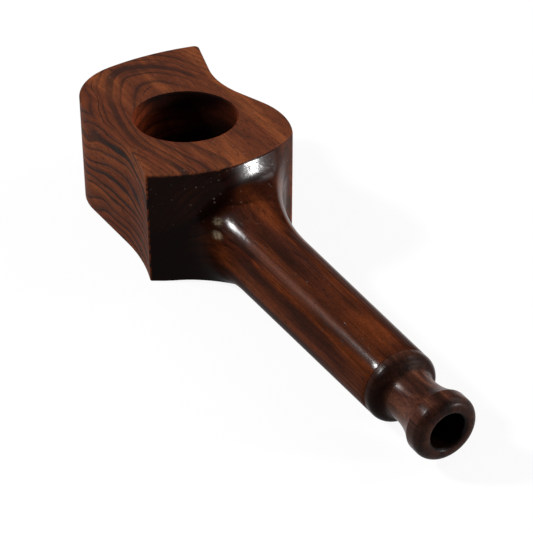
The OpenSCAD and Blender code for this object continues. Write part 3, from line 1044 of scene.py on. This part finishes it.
def finish_mesh(mesh, sharp_degrees):
    mesh.polygons.foreach_set("use_smooth", [True] * len(mesh.polygons))
    mesh.set_sharp_from_angle(angle=math.radians(sharp_degrees))
    check = bmesh.new()
    check.from_mesh(mesh)
    loose = sum(1 for e in check.edges if len(e.link_faces) != 2)
    volume = round(check.calc_volume(signed=True) / MM ** 3, 1)
    print(mesh.name, len(mesh.polygons), "faces,", loose, "open edges,", volume, "mm3")
    check.free()


print("mesh helpers ready")

# %% Cut the bore and finish the body mesh
MORTISE_R, MORTISE_FROM, MORTISE_OVER = 4.23, 55.0, 1.0
ROD_SIDES, ROD_PHASE = 72, 0.37
rod = bmesh.new()
rod_rows = []
turns = [2 * math.pi * (k + ROD_PHASE) / ROD_SIDES for k in range(ROD_SIDES)]
for x, r in ((0.0, AIRWAY_R), (MORTISE_FROM, AIRWAY_R),
             (MORTISE_FROM, MORTISE_R), (JOINT_X + MORTISE_OVER, MORTISE_R)):
    ring = [(x * MM, r * MM * math.cos(a), (AXIS_H + r * math.sin(a)) * MM) for a in turns]
    rod_rows.append([rod.verts.new(point) for point in ring])
for low, high in zip(rod_rows, rod_rows[1:]):
    for k in range(ROD_SIDES):
        n = (k + 1) % ROD_SIDES
        rod.faces.new((low[k], low[n], high[n], high[k]))
rod.faces.new(rod_rows[0])
rod.faces.new(rod_rows[-1])
for face in rod.faces:
    face.material_index = SOOTED_AND_SHADED
bmesh.ops.recalc_face_normals(rod, faces=rod.faces)
rod_mesh = bpy.data.meshes.new("bore_rod")
rod.to_mesh(rod_mesh)
rod.free()
blank_mesh = bpy.data.meshes.new("pipe_blank")
skin.to_mesh(blank_mesh)
skin.free()
for mesh in (blank_mesh, rod_mesh):
    for material in (sanded_wood, buffed_wood, bowl_wood):
        mesh.materials.append(material)
bore_rod = mesh_object("bore_rod", rod_mesh)
blank = mesh_object("pipe_blank", blank_mesh)
drill = blank.modifiers.new("drill", "BOOLEAN")
drill.operation, drill.solver, drill.object = "DIFFERENCE", "EXACT", bore_rod
pipe_body = mesh_object("pipe_body", settled(blank, "pipe_body"))
for spent in (blank, bore_rod):
    bpy.data.objects.remove(spent)
BODY_SHARP = 35
finish_mesh(pipe_body.data, BODY_SHARP)

# %% [markdown]
# ## The mouthpiece on a lathe
# The mouthpiece is turned, so its whole shape follows one rule: a profile carried round the axis. Geometry
# Nodes make a lathe for it. The modifier's object holds only the points of the profile, and the tree lays a
# grid whose rows follow these points and whose columns go round the axis. The number of sides is an input.
# The profile has the tenon, the shoulder, the cove, the flared lip with its small turned edge, and the bore.

# %% Draw the profile of the mouthpiece
def turn_round(centre, radius, start_deg, end_deg, steps):
    angles = [math.radians(degrees) for degrees in stops(start_deg, end_deg, steps)]
    return [(centre[0] + radius * math.cos(a), centre[1] + radius * math.sin(a)) for a in angles]


TENON_R, TENON_TIP_R, TENON_FROM, TENON_EASE, BORE_R = 4.2, 3.9, 55.5, 0.3, 2.9
JOINT_R, JOINT_EASE, LAND_END, SHOULDER_R = 5.95, 0.05, 68.3, 1.7
COVE_C, COVE_R, COVE_FILLET = (72.3, 15.5), 11.5, 1.3
FLARE_X, FLARE_IN, FLARE_DOWN = 77.8, 0.18, 0.12
LIP_R, LIP_ROUND, MOUTH_X, SINK = 5.4, 1.6, 80.9, 0.8
FLARE_EASE, FLARE_LAND, LIP_LAND = 0.02, 0.15, 0.4
TENON_ROWS, SHOULDER_ROWS, FILLET_ROWS, COVE_ROWS, LIP_ROWS, SINK_ROWS, BORE_ROWS = 6, 12, 8, 20, 12, 6, 10


def fillet_centre(round_c, round_r, bay_c, bay_r, fillet):
    across = Vector(bay_c) - Vector(round_c)
    gap, reach, inner = across.length, round_r + fillet, bay_r - fillet
    along = (reach ** 2 - inner ** 2 + gap ** 2) / (2 * gap)
    off = math.sqrt(reach ** 2 - along ** 2)
    unit = across / gap
    return Vector(round_c) + along * unit + off * Vector((unit.y, -unit.x))


def bearing(origin, target):
    return math.degrees(math.atan2(target[1] - origin[1], target[0] - origin[0]))


shoulder_c = (LAND_END, JOINT_R - SHOULDER_R)
fillet_c = fillet_centre(shoulder_c, SHOULDER_R, COVE_C, COVE_R, COVE_FILLET)
shoulder_to = bearing(shoulder_c, fillet_c)
cove_from = bearing(COVE_C, fillet_c)
cove_to = bearing(COVE_C, (FLARE_X - FLARE_IN, LIP_R - FLARE_DOWN))
tenon_full = TENON_FROM + TENON_EASE
profile = [(TENON_FROM, TENON_TIP_R), (tenon_full, TENON_R)]
profile += [(x, TENON_R) for x in stops(tenon_full, JOINT_X, TENON_ROWS)[1:]]
profile += [(JOINT_X, JOINT_R - JOINT_EASE), (JOINT_X + JOINT_EASE, JOINT_R), (LAND_END, JOINT_R)]
profile += turn_round(shoulder_c, SHOULDER_R, 90, shoulder_to, SHOULDER_ROWS)[1:]
profile += turn_round(fillet_c, COVE_FILLET, shoulder_to + 180, cove_from + 360, FILLET_ROWS)[1:-1]
profile += turn_round(COVE_C, COVE_R, cove_from, cove_to, COVE_ROWS)
profile += [(FLARE_X - FLARE_EASE, LIP_R - FLARE_EASE), (FLARE_X + FLARE_LAND, LIP_R)]
profile += [(MOUTH_X - LIP_ROUND - LIP_LAND, LIP_R)]
profile += turn_round((MOUTH_X - LIP_ROUND, LIP_R - LIP_ROUND), LIP_ROUND, 90, 0, LIP_ROWS)
profile += turn_round((MOUTH_X - SINK, BORE_R + SINK), SINK, 0, -90, SINK_ROWS)
profile += [(x, BORE_R) for x in stops(MOUTH_X - SINK, TENON_FROM, BORE_ROWS)[1:]]
print("fillet of the cove at", [round(c, 2) for c in fillet_c])
print("profile of the mouthpiece:", len(profile), "points")

# %% Build the lathe tree
CLOSE_MM = 0.0005


def node_tree(name, inputs):
    tree = bpy.data.node_groups.new(name, "GeometryNodeTree")
    for key, kind in (("Geometry", "Geometry"), *inputs):
        tree.interface.new_socket(key, in_out="INPUT", socket_type="NodeSocket" + kind)
    tree.interface.new_socket("Geometry", in_out="OUTPUT", socket_type="NodeSocketGeometry")
    return tree, add_node(tree, "NodeGroupInput").outputs


def hand_out(geometry, finish):
    real = step("GeometryNodeRealizeInstances", {0: geometry}).outputs[0]
    done = step("GeometryNodeSetMaterial", {"Geometry": real, "Material": finish}).outputs[0]
    step("NodeGroupOutput", {0: done})


def grid_index(tree, across):
    index = add_node(tree, "GeometryNodeInputIndex").outputs[0]
    row = calc("FLOOR", calc("DIVIDE", calc("ADD", index, 0.5), across))
    return row, calc("SUBTRACT", index, times(row, across))


def lathe_tree():
    tree, given = node_tree("lathe", (("Sides", "Int"), ("Finish", "Material"), ("Axis Height", "Float")))
    drawn = {0: given["Geometry"]}
    points = step("GeometryNodeAttributeDomainSize", drawn, component="MESH").outputs["Point Count"]
    around = calc("ADD", given["Sides"], 1.0)
    size = {"Vertices X": calc("ADD", points, 1.0), "Vertices Y": around}
    sheet = add_node(tree, "GeometryNodeMeshGrid", size).outputs["Mesh"]
    row, column = grid_index(tree, around)
    here = add_node(tree, "GeometryNodeInputPosition").outputs[0]
    wrapped = calc("FLOORED_MODULO", row, points)
    wanted = {"Geometry": given["Geometry"], "Value": here, "Index": wrapped}
    taken = step("GeometryNodeSampleIndex", wanted, data_type="FLOAT_VECTOR", domain="POINT")
    x, _, r = split(taken.outputs[0])
    angle = times(calc("DIVIDE", column, given["Sides"]), 2 * math.pi)
    side = times(r, calc("COSINE", angle))
    rise = calc("ADD", times(r, calc("SINE", angle)), given["Axis Height"])
    place = step("ShaderNodeCombineXYZ", {0: x, 1: side, 2: rise}).outputs[0]
    turned = step("GeometryNodeSetPosition", {"Geometry": sheet, "Position": place}).outputs[0]
    seam = {"Geometry": turned, "Distance": CLOSE_MM * MM}
    hand_out(step("GeometryNodeMergeByDistance", seam).outputs[0], given["Finish"])
    return tree


lathe = lathe_tree()
print("lathe tree:", len(lathe.nodes), "nodes")

# %% Turn the mouthpiece
MOUTH_SIDES, MOUTH_SHARP = 128, 40


def socket_id(tree, name):
    return next(s.identifier for s in tree.interface.items_tree if s.name == name and s.in_out == "INPUT")


def made_by(tree, name, source_mesh, inputs):
    holder = mesh_object(name + "_source", source_mesh)
    maker = holder.modifiers.new("maker", "NODES")
    maker.node_group = tree
    for key, value in inputs.items():
        maker[socket_id(tree, key)] = value
    mesh = settled(holder, name)
    bpy.data.objects.remove(holder)
    facing = bmesh.new()
    facing.from_mesh(mesh)
    bmesh.ops.recalc_face_normals(facing, faces=facing.faces)
    facing.to_mesh(mesh)
    facing.free()
    return mesh_object(name, mesh)


drawn_profile = bpy.data.meshes.new("mouthpiece_profile")
profile_edges = [(k, k + 1) for k in range(len(profile) - 1)]
drawn_profile.from_pydata([(x * MM, 0, r * MM) for x, r in profile], profile_edges, [])
turning = {"Sides": MOUTH_SIDES, "Finish": turned_wood, "Axis Height": AXIS_H * MM}
turned_mouthpiece = made_by(lathe, "turned_mouthpiece", drawn_profile, turning)
finish_mesh(turned_mouthpiece.data, MOUTH_SHARP)

# %% [markdown]
# ## The brass disc
# A thin pierced disc lies on the ledge under the bowl and keeps the filling out of the airway. Its holes
# stand in a honeycomb, which a Geometry Nodes tree makes from a small grid: each point is pushed into its
# place, the points near the edge are deleted, and a drill stands on every point that is left. The brass is
# dulled by heat, so its colour drifts from yellow to brown.

# %% Make the brass finish
BRIGHT_BRASS, BROWN_BRASS = (0.44, 0.29, 0.10, 1), (0.16, 0.085, 0.035, 1)
STAIN_SCALE, SCRATCH_SCALE, SCRATCH_MM, SCRATCHED = 320.0, 2600.0, 0.01, 0.6


def dulled_brass():
    material = new_material("dulled_brass")
    tree = material.node_tree
    place = add_node(tree, "ShaderNodeTexCoord").outputs["Object"]
    stain = noise(place, STAIN_SCALE, 4.0)
    tone = blend_colour(fade(stain, 0.35, 0.65), BRIGHT_BRASS, BROWN_BRASS)
    marks = noise(place, SCRATCH_SCALE, 2.0)
    scratch = {"Height": marks, "Distance": SCRATCH_MM * MM, "Strength": SCRATCHED}
    shader = step("ShaderNodeBsdfPrincipled", {
        "Base Color": tone, "Metallic": 1.0, "Roughness": fade(stain, 0.3, 0.7, 0.38, 0.62),
        "Normal": step("ShaderNodeBump", scratch).outputs[0]})
    step("ShaderNodeOutputMaterial", {"Surface": shader.outputs[0]})
    return material


brass = dulled_brass()
print("brass finish made")

# %% Build the pierced disc tree
DISC_SIDES, HOLE_SIDES, HOLES_ACROSS, DRILL_LENGTH = 96, 20, 9, 3.0
DISC_SIZES = ("Disc Radius", "Thickness", "Lies At", "Pitch", "Hole Radius", "Pierced Radius")


def hole_points(tree, given, middle):
    size = {"Vertices X": HOLES_ACROSS, "Vertices Y": HOLES_ACROSS}
    lattice = add_node(tree, "GeometryNodeMeshGrid", size).outputs["Mesh"]
    column, row = (calc("SUBTRACT", n, HOLES_ACROSS // 2) for n in grid_index(tree, HOLES_ACROSS))
    at_x = times(calc("MULTIPLY_ADD", row, 0.5, column), given["Pitch"])
    at_y = times(row, math.sqrt(0.75), given["Pitch"])
    spot = step("ShaderNodeCombineXYZ", {0: at_x, 1: at_y, 2: middle}).outputs[0]
    lattice = step("GeometryNodeSetPosition", {"Geometry": lattice, "Position": spot}).outputs[0]
    x, y, _ = split(add_node(tree, "GeometryNodeInputPosition").outputs[0])
    out = calc("SQRT", calc("ADD", times(x, x), times(y, y)))
    hole_edge = calc("ADD", out, given["Hole Radius"])
    outside = calc("GREATER_THAN", hole_edge, given["Pierced Radius"])
    chosen = {"Geometry": lattice, "Selection": outside}
    return step("GeometryNodeDeleteGeometry", chosen, domain="POINT").outputs[0]


def pierced_disc_tree():
    tree, given = node_tree("pierced_disc", [(key, "Float") for key in DISC_SIZES] + [("Finish", "Material")])

    def cylinder(sides, radius, depth):
        sockets = {"Vertices": sides, "Radius": radius, "Depth": depth}
        return step("GeometryNodeMeshCylinder", sockets).outputs["Mesh"]

    middle = calc("MULTIPLY_ADD", given["Thickness"], 0.5, given["Lies At"])
    lift = step("ShaderNodeCombineXYZ", {2: middle}).outputs[0]
    disc = cylinder(DISC_SIDES, given["Disc Radius"], given["Thickness"])
    disc = step("GeometryNodeTransform", {"Geometry": disc, "Translation": lift}).outputs[0]
    drill = cylinder(HOLE_SIDES, given["Hole Radius"], times(given["Thickness"], DRILL_LENGTH))
    stand = {"Points": hole_points(tree, given, middle), "Instance": drill}
    drills = step("GeometryNodeInstanceOnPoints", stand).outputs[0]
    drills = step("GeometryNodeRealizeInstances", {0: drills}).outputs[0]
    cut = step("GeometryNodeMeshBoolean", {0: disc, 1: drills}, operation="DIFFERENCE").outputs[0]
    hand_out(cut, given["Finish"])
    return tree


DISC_SHARP = 30
disc_inputs = dict(zip(DISC_SIZES, (v * MM for v in (7.9, 0.4, LEDGE_Z, 1.6, 0.55, CUP_R))), Finish=brass)
no_source = bpy.data.meshes.new("empty_source")
pierced_disc = made_by(pierced_disc_tree(), "pierced_disc", no_source, disc_inputs)
finish_mesh(pierced_disc.data, DISC_SHARP)

# %% [markdown]
# ## Joining the pieces to the frame
# Each visible piece stands for one CAD solid and moves with that solid's body: the mouthpiece slides out of
# the shank, and the disc lifts out of the bowl. The box of the visual model is printed in millimetres.

# %% Tie the pieces to their bodies and finish
for piece, body, node, finish in (
        (pipe_body, "body", "bowl_body", "block_wood"),
        (turned_mouthpiece, "mouth", "mouthpiece", "mouth_wood"),
        (pierced_disc, "screen", "bowl_screen", "gauze_brass")):
    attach(piece, body)
    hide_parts(node)

low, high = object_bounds()
print("visual box in mm:", [round(v / MM, 2) for v in (*low, *high)])
